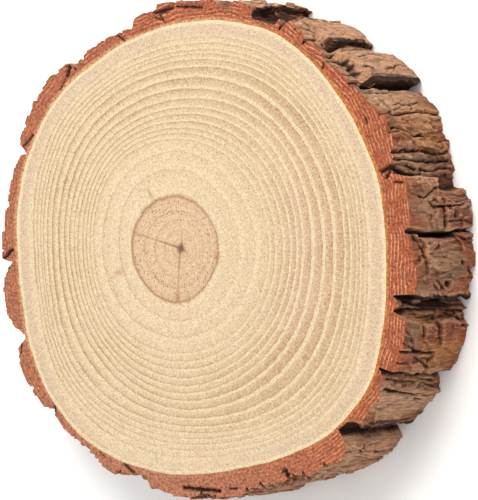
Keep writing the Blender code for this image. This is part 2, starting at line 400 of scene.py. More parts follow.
# The rays: fine streaks that run out from the pith.
centred = add_node(end_grain, "Mapping",
                   {"Vector": place, "Location": (-PITH_X * MM, -PITH_Y * MM, 0.0)})
level = add_node(end_grain, "VectorMath", (centred, (1.0, 1.0, 0.0)), operation="MULTIPLY")
spoke = add_node(end_grain, "VectorMath", (level,), operation="NORMALIZE")
spoke = add_node(end_grain, "VectorMath", {0: spoke, "Scale": RAY_DISTANCE / RAY_WIDTH},
                 operation="SCALE")
slow_out = add_node(end_grain, "Math", (from_pith, 0.5), operation="MULTIPLY")
rays = add_node(end_grain, "TexNoise",
                {"Vector": spoke, "W": slow_out, "Scale": 1.0, "Detail": 2.0},
                noise_dimensions="4D")
patches = add_node(end_grain, "TexNoise", {"Vector": place, "Scale": grains(26.3), "Detail": 2.0})
fuzz = add_node(end_grain, "TexNoise",
                {"Vector": place, "Scale": grains(0.6667), "Detail": 2.0, "Roughness": 0.6})

patch_gain = add_node(end_grain, "MapRange", (patches, 0.3, 0.7, 0.7, 1.15))
ray_gain = add_node(end_grain, "MapRange", (rays, 0.3, 0.7, 0.4, 1.4))
late = add_node(end_grain, "Math", (late, tone), operation="MULTIPLY")
late = add_node(end_grain, "Math", (late, patch_gain), operation="MULTIPLY")
late = add_node(end_grain, "Math", (late, ray_gain), operation="MULTIPLY", use_clamp=True)
late_colour = add_node(end_grain, "MixRGB", (pink, linear("A28058"), linear("AA7F64")))
wood_colour = add_node(end_grain, "MixRGB", (late, linear("CAB594"), late_colour))

# Each year ends in a thin brown line, which shows best where the years are wide.
year_left = add_node(end_grain, "Math", (1.0, season), operation="SUBTRACT")
year_left = add_node(end_grain, "Math", (year_left, year_width), operation="MULTIPLY")
year_line = add_node(end_grain, "MapRange", (year_left, 0.25, 0.8, 0.36, 0.0))
narrow_side = add_node(end_grain, "MapRange", (narrow, 0.0, 1.0, 0.35, 1.0))
# The newest wood, next to the bark, is one broad dull band with a thin bright line at its edge.
newest = add_node(end_grain, "MapRange", (from_bark, 1.6, 2.6))
newest_out = add_node(end_grain, "MapRange", (from_bark, 5.5, 9.0, 0.6, 0.0))
untorn = add_node(end_grain, "Math", (torn, -0.8, 1.0), operation="MULTIPLY_ADD")
rim_line = add_node(end_grain, "MapRange", (from_bark, 0.9, 1.7, 0.5, 0.0))
# The heart is pinker inside its red-brown line, and its outer part is full of resin dots. A few
# dots are strewn over the rest of the wood.
heart = add_node(end_grain, "MapRange", (years, HEART_YEARS - 0.25, HEART_YEARS + 0.1, 0.4, 0.0))
heart_line = add_node(end_grain, "Math", (years, HEART_YEARS - 0.05), operation="SUBTRACT")
heart_line = add_node(end_grain, "Math", (heart_line,), operation="ABSOLUTE")
heart_line = add_node(end_grain, "MapRange", (heart_line, 0.03, 0.16, 0.6, 0.0))
dots = add_node(end_grain, "TexVoronoi", {"Vector": place, "Scale": grains(1.111)})
dot_size = add_node(end_grain, "MapRange", (dots, 0.16, 0.40, 1.0, 0.0))
dot_pick = add_node(end_grain, "SeparateColor", (dots.node.outputs["Color"],))
outside_heart = add_node(end_grain, "Math", (years, HEART_YEARS), operation="GREATER_THAN")
dot_rarity = add_node(end_grain, "MapRange", (years, 2.6, 3.6, 0.93, 0.5))
dot_rarity = add_node(end_grain, "Math", (outside_heart, 0.5, dot_rarity),
                      operation="MULTIPLY_ADD")
dot_rarity = add_node(end_grain, "Math", (dot_rarity, 0.9), operation="MINIMUM")
dot_kept = add_node(end_grain, "Math", (dot_pick, dot_rarity), operation="GREATER_THAN")
dot_depth = add_node(end_grain, "Math", (outside_heart, -0.35, 0.85), operation="MULTIPLY_ADD")
pith_spot = add_node(end_grain, "MapRange", (from_pith, 0.9, 3.2, 0.9, 0.0))

# All of these are laid over each other: how strong each is, by what it is weakened, its colour.
for amount, gains, shade in (
        (year_line, (patch_gain, narrow_side), "8C6B48"), (newest, (newest_out, untorn), "BDA48B"),
        (rim_line, (untorn,), "DAC7A4"), (heart, (), "BA9070"),
        (dot_size, (dot_kept, dot_depth), "6E4528"), (heart_line, (), "8F6445"),
        (resin_mark, (0.55,), "A16B50"), (crack, (0.6,), "865538"), (pith_spot, (), "623C2A")):
    for gain in gains:
        amount = add_node(end_grain, "Math", (amount, gain), operation="MULTIPLY")
    wood_colour = add_node(end_grain, "MixRGB", (amount, wood_colour, linear(shade)))
fuzz_gain = add_node(end_grain, "MapRange", (fuzz, 0.25, 0.75, 0.68, 1.34))
wood_colour = add_node(end_grain, "MixRGB", (1.0, wood_colour, fuzz_gain), blend_type="MULTIPLY")

relief = add_node(end_grain, "Math", (late, 0.4, fuzz), operation="MULTIPLY_ADD")
bump = add_node(end_grain, "Bump", {"Height": relief, "Strength": 0.5, "Distance": 0.3 * MM})
surface = add_node(end_grain, "BsdfPrincipled", {"Base Color": wood_colour, "Normal": bump,
                                                 "Roughness": 0.78, "Specular IOR Level": 0.25})
add_node(end_grain, "OutputMaterial", {"Surface": surface})
wood.data.materials.append(end_grain)

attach(wood, "root")
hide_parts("wood")


# The bark: thick pine bark, thin corky scales laid on each other in plates, with furrows between
# them that run up the trunk. It is a sheet rolled into a ring; its outside follows the CAD ring
# and is then weathered: broken off in steps along its layers, split, pitted and undercut.

# How many faces the sheet has round the ring, down its side, across its base, up its inside and
# across its sawn face, before it is thinned.
SHEET_ROUND = 1860
SIDE_ROWS = 116
BASE_ROWS = 8
INNER_ROWS = 2
SAWN_ROWS = 26
MAX_TRIANGLES = 199000
BARK_CREASE = math.radians(32)
# The trunk's girth over its bark turns degrees round it to millimetres.
GIRTH = 754.0
MM_PER_DEGREE = GIRTH / 360
# The bark's outside is worked out on a chart, angle by depth. A coarser one is read from the CAD
# ring by rays from far outside, which keep this far from the saw cuts.
CHART_ROUND, CHART_DOWN = 2400, 171
SCAN_ROUND, SCAN_DOWN = 1200, 86
SCAN_EDGE = 0.05
FAR_OUT = 200.0
# The thinnest that the bark gets, and how near its inside lies to the wood.
LEAST_BARK = 1.4
BARK_TO_WOOD = 0.02
# Along the trunk the random swells come back after this many.
SWELL_ROWS = 64

ring_mesh = frame["nodes"]["bark"].data
ring_surface = BVHTree.FromPolygons([vertex.co for vertex in ring_mesh.vertices],
                                    [polygon.vertices for polygon in ring_mesh.polygons])
ring_scan = np.zeros((SCAN_ROUND, SCAN_DOWN))
for i, turn in enumerate(np.arange(SCAN_ROUND) / SCAN_ROUND * math.tau):
    outward = Vector((math.cos(turn), math.sin(turn), 0.0))
    for j, depth in enumerate(np.linspace(SCAN_EDGE, TOP - SCAN_EDGE, SCAN_DOWN)):
        start = Vector((PITH_X, PITH_Y, TOP - depth)) * MM + FAR_OUT * MM * outward
        ring_scan[i, j] = FAR_OUT - ring_surface.ray_cast(start, -outward)[3] / MM


def read_chart(chart, angles, depths):
    """Reads a chart of the bark's outside, angle by depth, between its entries."""
    across = np.asarray(angles) % 360 / 360 * chart.shape[0]
    down = np.clip(np.asarray(depths) / TOP, 0, 1) * (chart.shape[1] - 1)
    i = np.floor(across).astype(int)
    j = np.minimum(np.floor(down).astype(int), chart.shape[1] - 2)
    u, v = across - i, down - j
    i, k = i % chart.shape[0], (i + 1) % chart.shape[0]
    near = chart[i, j] * (1 - u) + chart[k, j] * u
    far = chart[i, j + 1] * (1 - u) + chart[k, j + 1] * u
    return near * (1 - v) + far * v


def blurred(chart, wide, long):
    """The chart's mean over that many millimetres round the trunk and along it."""
    for axis, reach, size in ((0, wide, GIRTH / chart.shape[0]), (1, long, TOP / chart.shape[1])):
        steps = max(1, round(reach / size / 2))
        window = 2 * steps + 1
        mode = "wrap" if axis == 0 else "edge"
        margin = [(steps + 1, steps) if axis == side else (0, 0) for side in (0, 1)]
        sums = np.cumsum(np.pad(chart, margin, mode=mode), axis=axis)
        count = sums.shape[axis]
        ahead, behind = range(window, count), range(count - window)
        chart = (sums.take(ahead, axis) - sums.take(behind, axis)) / window
    return chart


def swells(angles, depths, wide, long, seed):
    """Random swells from about -1 to 1, wide mm round the trunk and long mm along it, seamless."""
    count = round(GIRTH / wide)
    slopes = np.random.default_rng(seed).uniform(-1, 1, (2, count, SWELL_ROWS))
    x = np.asarray(angles) % 360 / 360 * count
    y = np.asarray(depths) / long + 9.0
    column, row = np.floor(x).astype(int), np.floor(y).astype(int)
    x, y = x - column, y - row
    fade_x = x**3 * (x * (x * 6 - 15) + 10)
    fade_y = y**3 * (y * (y * 6 - 15) + 10)
    total = np.zeros(np.shape(x))
    for right in (0, 1):
        for down in (0, 1):
            slope = slopes[:, (column + right) % count, (row + down) % SWELL_ROWS]
            weight = (fade_x if right else 1 - fade_x) * (fade_y if down else 1 - fade_y)
            total += weight * (slope[0] * (x - right) + slope[1] * (y - down))
    return total * 1.9


def rough(angles, depths, wide, long, seed, octaves=4):
    """Swells with ever finer ones on top of them."""
    total = np.zeros(np.shape(angles))
    for octave in range(octaves):
        finer = 2**octave
        total += swells(angles, depths, wide / finer, long / finer, seed + octave) / finer
    return total


def stair(values, step, sharpness):
    """Turns a slope into treads and risers, as layers that break off one by one do."""
    whole = np.floor(values / step)
    part = values / step - whole
    riser = part**sharpness / (part**sharpness + (1 - part)**sharpness)
    return (whole + riser) * step


def smooth(values, low, high):
    """0 below low, 1 above high, and a soft ramp between."""
    t = np.clip((values - low) / (high - low), 0, 1)
    return t * t * (3 - 2 * t)


def off_line(angles, depths, line):
    """How far, in mm, each point lies from a line through places given as angle and depth."""
    nearest = np.full(np.shape(angles), 99.0)
    for (angle, depth), (next_angle, next_depth) in zip(line, line[1:]):
        _, away = beside_line(turn_from(angle, angles) * MM_PER_DEGREE, depths - depth,
                              (next_angle - angle) * MM_PER_DEGREE, next_depth - depth)
        nearest = np.minimum(nearest, away)
    return nearest


def inside_patch(angles, depths, patch, soft):
    """1 inside a patch drawn through places given as angle and depth, 0 outside, softly edged."""
    crossings = np.zeros(np.shape(angles), int)
    turned = turn_from(patch[0][0], angles) + patch[0][0]
    closed = patch + patch[:1]
    for (angle, depth), (next_angle, next_depth) in zip(closed, closed[1:]):
        spans = (angle > turned) != (next_angle > turned)
        run = (turned - angle) / (next_angle - angle if next_angle != angle else 1)
        crossings += spans & (depths < depth + run * (next_depth - depth))
    signed = off_line(angles, depths, closed) * np.where(crossings % 2 == 1, 1, -1)
    return smooth(signed, -soft, soft)


# Patches of other colours, and of painted shadow: angle, depth, reach round the trunk and along
# it, and how strong.
YELLOW_PATCHES = (
    (27.0, 45, 9, 11, 1.0), (13.6, 2.5, 3, 3, 1.0), (-1.5, 18, 6, 15, 0.6),
    (42.5, 24, 5, 12, 0.6), (-47.5, 17, 5, 10, 0.9), (-34.0, 44, 5, 7, 0.7),
    (55.0, 40, 8, 12, 0.4), (68.0, 40, 8, 12, 0.4), (-20.0, 32, 9, 16, 0.6))
GREY_PATCHES = (
    (32.0, 12, 9, 9, 0.8), (9.5, 13, 9, 13, 0.8), (-17.0, 9, 9, 6, 0.9), (11.0, 40, 9, 12, 0.4),
    (46.5, 30, 6, 15, 0.3), (80.0, 20, 14, 20, 0.6), (18.0, 25, 5, 26, 0.6))
RED_PATCHES = (
    (43.5, 4, 9, 5, 0.9), (-17.2, 20, 5, 6, 0.8), (-4.6, 48, 4, 5, 1.0), (25.0, 20, 5, 7, 0.4),
    (-8.0, 22, 4, 8, 0.6), (-33.0, 36, 3, 4, 0.8), (-46.4, 6, 4, 8, 0.8), (0.6, 40, 3, 10, 0.6),
    (-12.0, 5, 3, 6, 0.8), (8.5, 33, 5, 12, 0.7), (1.5, 24, 5, 12, 0.5), (-6.0, 10, 4, 8, 0.5))
PALE_PATCHES = (
    (-10.8, 14, 3, 5, 1.0), (75.0, 25, 12, 50, 1.0), (56.0, 25, 12, 60, 1.0),
    (44.0, 30, 14, 50, 1.0), (33.0, 20, 10, 30, 0.8), (-33.5, 25, 9, 50, 1.0),
    (-47.0, 22, 10, 40, 0.9), (-54.0, 25, 8, 50, 0.9), (-66.0, 25, 12, 50, 0.8),
    (27.0, 30, 5, 30, 0.4), (8.0, 16, 7, 12, 0.35))
# Painted shadow: dark patches in the furrows under the lips of plates, where their shade falls.
PAINTED_SHADOW_PATCHES = (
    (66.0, 10, 8, 26, 1.0), (67.5, 34, 7, 14, 0.9), (51.9, 28, 1.2, 22, 1.0),
    (38.7, 30, 1.2, 24, 0.8), (36.3, 32, 2.0, 16, 1.0), (18.6, 34, 3.2, 26, 0.55),
    (-11.9, 24, 1.5, 26, 0.9), (-38.6, 26, 1.6, 26, 0.9), (-41.0, 20, 4.0, 40, 0.8),
    (-46.8, 38, 1.3, 10, 0.8), (-47.4, 20, 0.7, 12, 0.6), (-57.0, 16, 1.6, 5, 0.8),
    (-9.7, 24, 0.8, 26, 0.6))
# Slabs whose tops are flat, with hardly a scale or a crack on them.
CALM_PATCHES = (
    (56.0, 30, 13, 50, 0.9), (44.5, 32, 12, 48, 0.9), (33.0, 22, 8, 26, 0.7),
    (-19.5, 34, 9, 34, 0.8), (-34.0, 25, 8, 50, 0.7), (-52.0, 25, 10, 40, 0.6),
    (-2.0, 20, 8, 26, 0.5), (26.0, 10, 5, 14, 0.5))


def patches_at(angles, depths, patches, wide, long, seed, drifts=1.0):
    """How strong something is at each point: where it was seen, and random drifts of it."""
    amount = drifts * smooth(rough(angles, depths, wide, long, seed, 3), 0.15, 0.75)
    for angle, depth, across, along, strength in patches:
        x = turn_from(angle, angles) * MM_PER_DEGREE / across
        y = (depths - depth) / along
        near = np.hypot(x, y) + 0.35 * rough(angles, depths, 7, 11, seed + 5, 3)
        amount = np.maximum(amount, strength * (1 - smooth(near, 0.55, 1.15)))
    return amount


# Splits in the bark: half width and depth in mm, then the places that each runs through.
SPLITS = (
    (0.5, 2.4, ((25.4, 3), (25.7, 7), (25.1, 11), (24.5, 17), (23.9, 21), (24.2, 28))),
    (1.3, 3.0, ((23.2, 17), (22.4, 19), (21.4, 20))),
    (0.5, 2.0, ((20.8, 7), (21.3, 11), (20.7, 15), (19.6, 17))),
    (0.6, 2.0, ((19.0, 4), (18.6, 14), (18.8, 24), (18.2, 36), (18.8, 46))),
    (0.9, 2.6, ((17.3, 0), (17.0, 3), (16.4, 6), (15.6, 9), (15.3, 16), (15.2, 30))),
    (0.5, 1.6, ((16.9, 22), (16.4, 31), (17.2, 38), (16.8, 50))),
    (0.4, 1.4, ((10.7, 10), (10.4, 14), (11.3, 19), (12.2, 23), (12.6, 27))),
    (0.4, 0.5, ((12.4, 26), (10.9, 27.4), (8.9, 25.6), (7.2, 28.2), (4.6, 27))),
    (0.4, 1.0, ((9.6, 19), (10.1, 21), (9.4, 23))),
    (1.1, 3.2, ((7.1, 35), (6.9, 36.4))),
    (0.9, 1.6, ((8.4, 28), (8.0, 31))),
    (0.4, 1.0, ((5.4, 29), (5.8, 38), (5.2, 50))),
    (0.6, 1.4, ((3.2, 0), (3.4, 9), (3.0, 20), (3.5, 30), (2.9, 37), (1.9, 43), (2.1, 51))),
    (1.2, 2.4, ((2.6, 4), (1.4, 7), (-0.4, 8.5))),
    (0.9, 2.6, ((-2.6, 38), (-2.8, 39.6))),
    (1.1, 3.4, ((-6.9, 25), (-7.1, 28))),
    (1.3, 2.6, ((-4.0, 45), (-4.9, 48), (-4.4, 51))),
    (0.4, 1.3, ((-6.4, 16), (-7.4, 21), (-8.9, 28))),
    (0.4, 1.2, ((-7.2, 14), (-8.4, 19), (-9.4, 24))),
    (1.2, 3.0, ((-10.3, 0), (-10.2, 12), (-10.6, 26), (-10.3, 38), (-10.8, 51))),
    (0.8, 2.2, ((-13.6, 0), (-13.2, 6), (-12.9, 14), (-12.8, 30), (-13.0, 51))),
    (0.7, 1.2, ((-15.4, 14), (-16.4, 14.6), (-17.6, 15))),
    (0.9, 1.8, ((-18.4, 6), (-19.0, 8))),
    (0.5, 1.1, ((-19.3, 0), (-19.8, 5), (-20.3, 9), (-20.8, 15), (-20.6, 22))),
    (1.2, 2.2, ((-20.3, 9), (-21.0, 12.5))),
    (0.4, 0.7, ((-21.6, 9), (-22.8, 17), (-24.3, 26))),
    (0.8, 3.0, ((-26.0, 0), (-25.9, 12), (-26.4, 26), (-26.0, 40), (-26.6, 51))),
    (0.4, 1.5, ((-27.2, 18), (-27.5, 28), (-27.1, 38), (-27.6, 47))),
    (0.4, 1.3, ((-28.2, 4), (-28.5, 16), (-28.1, 30), (-28.6, 44))),
    (0.4, 1.3, ((-29.6, 28), (-29.2, 36), (-29.9, 45))),
    (0.9, 2.4, ((-30.3, 5), (-30.6, 10), (-30.4, 16))),
    (0.4, 1.2, ((-31.2, 16), (-31.0, 24), (-31.6, 34))),
    (0.8, 1.4, ((-32.6, 34), (-32.4, 38))),
    (1.0, 2.4, ((-39.2, 0), (-39.6, 10), (-40.4, 30), (-40.0, 51))),
    (1.2, 2.6, ((-42.6, 0), (-42.4, 20), (-42.2, 51))),
    (0.4, 1.0, ((-45.4, 4), (-46.2, 12), (-46.0, 26))),
    (0.8, 1.2, ((-46.5, 30), (-47.4, 38), (-46.2, 46))),
    (0.4, 1.2, ((-53.0, 8), (-54.4, 20), (-53.8, 34))),
    (0.6, 2.0, ((-56.2, 0), (-57.0, 6), (-58.4, 12))),
    (0.5, 2.2, ((-58.4, 0), (-59.2, 8), (-60.2, 20))),
    (0.5, 1.6, ((-61.8, 2), (-62.6, 12), (-62.0, 26))),
    (0.5, 1.8, ((-65.0, 0), (-65.6, 14), (-65.2, 34))),
    (0.6, 2.0, ((57.4, 0), (57.2, 5), (56.6, 8.5), (55.2, 10))),
    (1.0, 1.6, ((56.6, 10.5), (54.8, 12))),
    (0.7, 2.0, ((48.2, 0), (47.6, 5), (47.9, 8))),
    (0.5, 1.6, ((44.4, 0), (43.8, 4), (42.4, 7.5), (43.2, 11))),
    (0.6, 1.8, ((41.6, 1), (41.0, 6), (41.4, 13), (40.6, 18))),
    (0.4, 1.4, ((40.6, 26), (41.4, 36), (42.3, 42), (42.0, 50))),
    (0.4, 0.9, ((44.6, 16), (45.2, 28), (44.8, 40))),
    (0.4, 1.0, ((35.2, 4), (34.6, 14), (35.4, 24))),
    (0.4, 1.2, ((30.8, 12), (31.6, 20), (31.0, 30), (31.8, 36))),
    (0.7, 1.4, ((27.0, 37), (26.8, 39.5))),
    (0.4, 1.2, ((23.6, 36), (22.8, 42), (23.3, 50))),
    (0.5, 1.6, ((73.6, 12), (73.0, 20), (73.6, 30))),
    (0.7, 1.6, ((77.4, 20), (78.0, 32), (77.2, 46))),
    (0.8, 3.0, ((-59.0, 2), (-59.6, 9), (-59.2, 22))),
    (0.9, 3.0, ((-63.4, 1), (-64.0, 10), (-63.6, 26))),
    (0.8, 2.6, ((-67.4, 0), (-68.0, 8), (-67.6, 20))),
)
# Scales that stand proud, or the scars of lost ones: height in mm, then the outline.
FLAKES = (
    (-3.4, ((62.3, -2), (69.6, -2), (70.2, 20), (71.2, 34), (70.6, 53), (62.3, 53))),
    (-2.6, ((-9.3, 3), (-9.3, 53), (-12.0, 53), (-12.2, 20), (-11.6, 3))),
    (-2.6, ((52.2, 8), (52.2, 53), (50.2, 53), (50.2, 8))),
    (-1.6, ((-39.4, -2), (-39.2, 24), (-39.6, 53), (-43.4, 53), (-43.4, -2))),
    (2.2, ((-12.0, 10.0), (-11.2, 17.5), (-10.0, 18.0), (-9.6, 12.0))),
    (-2.2, ((37.8, 4), (37.8, 53), (35.8, 53), (35.8, 20), (36.6, 4))),
    (1.1, ((-15.0, 15), (-15.2, 22), (-16.2, 25.5), (-18.4, 25), (-19.6, 20), (-18.6, 15.4),
           (-16.6, 16))),
    (1.0, ((-30.0, 46), (-30.4, 38), (-31.4, 33), (-33.2, 36), (-34.2, 47), (-33.6, 51.5),
           (-30.2, 51.5))),
    (0.9, ((-44.0, 4), (-44.6, 18), (-45.4, 27), (-45.2, 8))),
    (-0.9, ((-46.2, 9), (-46.6, 22), (-49.0, 24), (-49.4, 12), (-47.6, 8))),
    (0.9, ((-50.4, 10), (-51.2, 30), (-53.0, 44), (-53.2, 20))),
    (0.9, ((36.4, 10), (36.2, 20), (33.0, 24), (30.4, 18), (29.6, 8), (32.6, 5))),
    (-0.8, ((29.4, 38), (29.4, 51.5), (23.6, 51.5), (24.2, 44), (25.4, 38.6))),
    (0.8, ((21.6, 3), (23.6, 8), (22.6, 16), (21.2, 14))),
    (0.9, ((22.6, 22), (23.0, 32), (21.4, 35), (21.0, 24))),
    (0.7, ((46.8, 12), (47.6, 24), (46.0, 38), (43.6, 33), (43.0, 18))),
    (-0.8, ((59.6, 11), (59.6, 20), (57.2, 24), (56.0, 16))),
    (0.8, ((54.4, 16), (55.2, 30), (53.2, 42), (52.6, 24))),
    (0.9, ((-1.6, 10), (-2.0, 24), (-3.4, 33), (-4.6, 22), (-4.2, 11))),
    (0.8, ((13.6, 2), (14.0, 12), (12.4, 20), (10.8, 12), (11.4, 3))),
    (0.8, ((9.8, 30), (10.2, 42), (8.6, 48), (7.9, 38))),
    (0.9, ((71.6, 8), (72.4, 22), (70.2, 30), (69.4, 16))),
    (1.1, ((10.4, 22.6), (10.6, 27.6), (4.2, 27.8), (4.0, 19.4), (5.4, 17.8), (7.4, 21.8))),
    (0.7, ((14.6, 24.8), (14.8, 27.6), (10.4, 27.6), (10.6, 23.2), (12.6, 25.6))),
    (-1.4, ((-72, -2), (-71, 6), (-66, 10), (-59, 8), (-54, 5), (-53, -2))),
    (-1.5, ((-71, -2), (-69, 4), (-64, 6.5), (-58, 5), (-55, -2))),
    (-1.5, ((-69.5, -2), (-67, 2), (-62, 3.4), (-58, 2.2), (-56.5, -2))),
)
# Lips of plates that stand out over the furrow under them: the angle of the lip at the upper
# face and at the base, the depths between which it juts, how far, and how much of the plate goes.
OVERHANGS = (
    (70.2, 70.8, 0, 51, 3.4, 5.0), (51.9, 51.9, 8, 51, 3.2, 5.0), (38.9, 38.4, 5, 51, 4.4, 7.0),
    (28.7, 28.7, 12, 30, 1.2, 3.0), (20.6, 20.6, 12, 51, 2.8, 5.0), (3.5, 3.5, 8, 51, 0.7, 4.0),
    (-9.3, -9.3, 2, 51, 3.2, 5.0), (-25.2, -25.2, 6, 51, 2.2, 5.0),
    (-39.2, -39.2, 0, 51, 3.2, 6.0), (-60.0, -60.4, 12, 51, 1.6, 4.0),
    (-84.0, -84.0, 4, 51, 1.6, 4.0), (104.9, 104.9, 4, 51, 2.0, 5.0),
    (126.0, 126.0, 6, 51, 2.0, 5.0), (153.5, 153.5, 4, 51, 2.2, 5.0),
    (183.8, 183.8, 4, 51, 2.4, 5.0), (205.6, 205.6, 4, 51, 2.0, 5.0),
    (226.2, 226.2, 4, 51, 2.0, 5.0), (251.9, 251.9, 4, 51, 1.8, 5.0))
# Bark breaks off in layers of these thicknesses.
THICK_LAYER, THIN_LAYER = 1.3, 0.65
# Cracks that run crosswise are closed over this many rows of the chart, and all of them are on
# the side that faces the lens: the angle of its middle and how far it goes either way.
CRACK_REACH = 8
SEEN_MIDDLE, SEEN_HALF = 5, 45

# The chart of the weathered outside: distance from the pith by angle and depth.
chart = np.meshgrid(np.arange(CHART_ROUND) / CHART_ROUND * 360, np.linspace(0, TOP, CHART_DOWN),
                    indexing="ij")
chart_angles, chart_depths = chart
sway = rough(*chart, 14, 24, 101) * (0.25 + 0.9 * smooth(chart_depths, 0, 8))
slip = 2.6 * rough(*chart, 24, 30, 111) + 1.7 * rough(*chart, 7, 14, 115, 3)
slip *= smooth(chart_depths, 0, 5) * smooth(TOP - chart_depths, 0, 4)
swayed = chart_angles + sway / MM_PER_DEGREE
ragged_across = 0.9 * rough(*chart, 5, 12, 191)
ragged_along = 2.0 * rough(*chart, 6, 9, 195)
drawn = chart_angles + 0.6 * ragged_across / MM_PER_DEGREE
chart_edge = wood_edge(chart_angles)
lift = read_chart(ring_scan, swayed, chart_depths + slip) - chart_edge
# Most of the cracks that run crosswise, from plate to plate, have closed or are grown over.
closed = np.pad(lift, ((0, 0), (CRACK_REACH, CRACK_REACH)), mode="edge")
for extreme in (np.max, np.min):
    closed = extreme([np.roll(closed, step, 1) for step in range(-CRACK_REACH, CRACK_REACH + 1)],
                     axis=0)
calm = patches_at(*chart, CALM_PATCHES, 26, 60, 341)
open_crack = smooth(swells(*chart, 9, 16, 117), 0.1, 0.4) * (1 - calm)
open_crack *= np.abs(turn_from(SEEN_MIDDLE, chart_angles)) > SEEN_HALF
lift += (1 - open_crack) * (closed[:, CRACK_REACH:-CRACK_REACH] - lift)
layers = stair(lift + 0.5 * rough(*chart, 9, 60, 121), THICK_LAYER, 14)
layers = stair(layers + 0.25 * rough(*chart, 4, 26, 131, 3), THIN_LAYER, 10)

# The scales: thin slabs of cork that lie on each other, most of them longer along the trunk than
# round it, each at a level and a slant of its own, with an edge that curls up a little.
SCALE_COUNT = 340
random = np.random.default_rng(405)
scale_height = np.full(lift.shape, -1.0)
scale_tone = np.full(lift.shape, 0.5)
chart_step = 360 / CHART_ROUND
for scale in range(SCALE_COUNT):
    middle_angle, middle_depth = random.uniform(0, 360), random.uniform(-8, TOP + 8)
    half_wide, half_long = random.uniform(3.0, 8.5), random.uniform(7.0, 24.0)
    level, slant, dip = random.uniform(-1.0, 0.95), random.normal(0, 0.06), random.normal(0, 0.015)
    turned, tone = random.normal(0, 0.16), random.uniform(0, 1)
    reach = (half_wide + 0.3 * half_long + 4) / MM_PER_DEGREE
    columns = np.arange(math.floor((middle_angle - reach) / chart_step),
                        math.ceil((middle_angle + reach) / chart_step))
    across = ((columns * chart_step - middle_angle) * MM_PER_DEGREE)[:, None]
    columns = columns % CHART_ROUND
    across = across + ragged_across[columns]
    along = chart_depths[columns] - middle_depth + ragged_along[columns]
    across, along = across + turned * along, along - turned * across
    share = np.abs(across / half_wide) ** 2.6 + np.abs(along / half_long) ** 4
    top = level + slant * across + dip * along + 0.3 * share**2
    shown = (share < 1) & (top > scale_height[columns])
    scale_height[columns] = np.where(shown, top, scale_height[columns])
    scale_tone[columns] = np.where(shown, tone, scale_tone[columns])
scale_height += 0.8 * calm * (0.25 - scale_height)

threads = rough(*chart, 6, 60, 201)
cracks_on = smooth(swells(*chart, 12, 30, 211), 0.0, 0.3) * (1 - calm)
cracks = np.exp(-(threads / 0.05) ** 2) * cracks_on
grain = 0.09 * rough(*chart, 1.3, 9.0, 171, 3)
height = lift + 0.6 * (layers - lift) + scale_height - 0.9 * cracks + grain - 0.15
for level, outline in FLAKES:
    height += level * inside_patch(drawn, chart_depths, outline, 0.35)
split_depth = np.zeros(np.shape(height))
for half_width, depth, line in SPLITS:
    away = off_line(drawn, chart_depths, line)
    split_depth = np.maximum(split_depth, depth * np.exp(-(away / half_width) ** 2))
height -= split_depth
outside_chart = chart_edge + np.maximum(height, LEAST_BARK)
# How far each point lies below the mean of its neighbours, near and far: for painted shade in
# cracks and furrows, and painted highlight on what stands out.
crevice_chart = blurred(outside_chart, 2.2, 3.0) - outside_chart
furrow_chart = blurred(outside_chart, 13.0, 14.0) - outside_chart
smooth_chart = blurred(outside_chart, 1.2, 3.0)


def jut(angles, depths, radii):
    """How far each point of the outside leans over the furrow next to it, in degrees."""
    lean = np.zeros(np.shape(angles))
    for near_lip, far_lip, first, last, reach, width in OVERHANGS:
        lip = near_lip + (far_lip - near_lip) * depths / TOP
        above = turn_from(lip, angles) * MM_PER_DEGREE
        plate = read_chart(smooth_chart, lip + 1.6, depths)
        floor = read_chart(smooth_chart, lip - 1.0, depths)
        share = np.clip((radii - floor - 0.8) / np.maximum(plate - floor, 2.0), 0, 1)
        weight = smooth(above, -2.6, -1.2) * (1 - smooth(above, 0.8, width))
        weight = weight * smooth(depths, first, first + 5) * smooth(last - depths, -1, 1)
        ragged = 1.0 + 0.5 * swells(angles * 0 + near_lip, depths, 10, 7, 181)
        lean -= reach * ragged * share**1.5 * weight
    return lean / MM_PER_DEGREE


# Knots, slits and drying cracks in the sawn bark: angle and distance of both ends, half width
# and depth.
SAWN_MARKS = (
    (271.0, 113.8, 281.0, 116.6, 0.8, 2.0), (252.5, 110.2, 255.5, 111.8, 0.7, 1.4),
    (225.5, 109.0, 227.0, 112.6, 0.8, 1.6), (205.0, 107.2, 205.4, 110.0, 0.8, 1.6),
    (206.0, 108.6, 208.0, 111.0, 0.5, 1.2), (180.5, 104.0, 182.5, 109.0, 0.9, 1.6),
    (147.8, 106.4, 152.3, 109.2, 0.5, 1.2), (127.0, 112.0, 129.0, 109.5, 1.0, 1.8),
    (129.0, 109.5, 133.0, 107.2, 0.4, 1.0), (108.3, 105.8, 110.0, 109.8, 0.5, 1.2),
    (95.0, 108.4, 96.2, 112.2, 0.5, 1.2), (96.2, 110.5, 97.6, 111.6, 0.4, 1.0),
    (17.3, 116.2, 17.5, 121.5, 1.0, 2.4), (15.6, 117.5, 16.6, 119.8, 0.7, 1.6),
    (14.2, 121.0, 13.6, 125.0, 0.5, 1.4), (46.0, 114.2, 46.6, 116.6, 0.4, 1.2),
    (-60.6, 118.5, -59.8, 118.9, 0.9, 1.6), (-60.2, 120.6, -59.6, 120.9, 0.8, 1.4),
    (84.0, 114.6, 91.0, 115.4, 0.6, 1.4), (92.5, 114.8, 97.5, 114.0, 0.9, 1.6),
    (-76.0, 116.4, -74.0, 117.0, 0.5, 1.2), (28.6, 117.4, 30.2, 118.0, 0.5, 1.2),
    (244.0, 110.6, 246.0, 111.4, 0.4, 1.0))
# The marks' walls show sawn cork down to this depth, and where a mark is at least this deep.
MARK_WALLS = 3
MARK_SEEN = 0.15


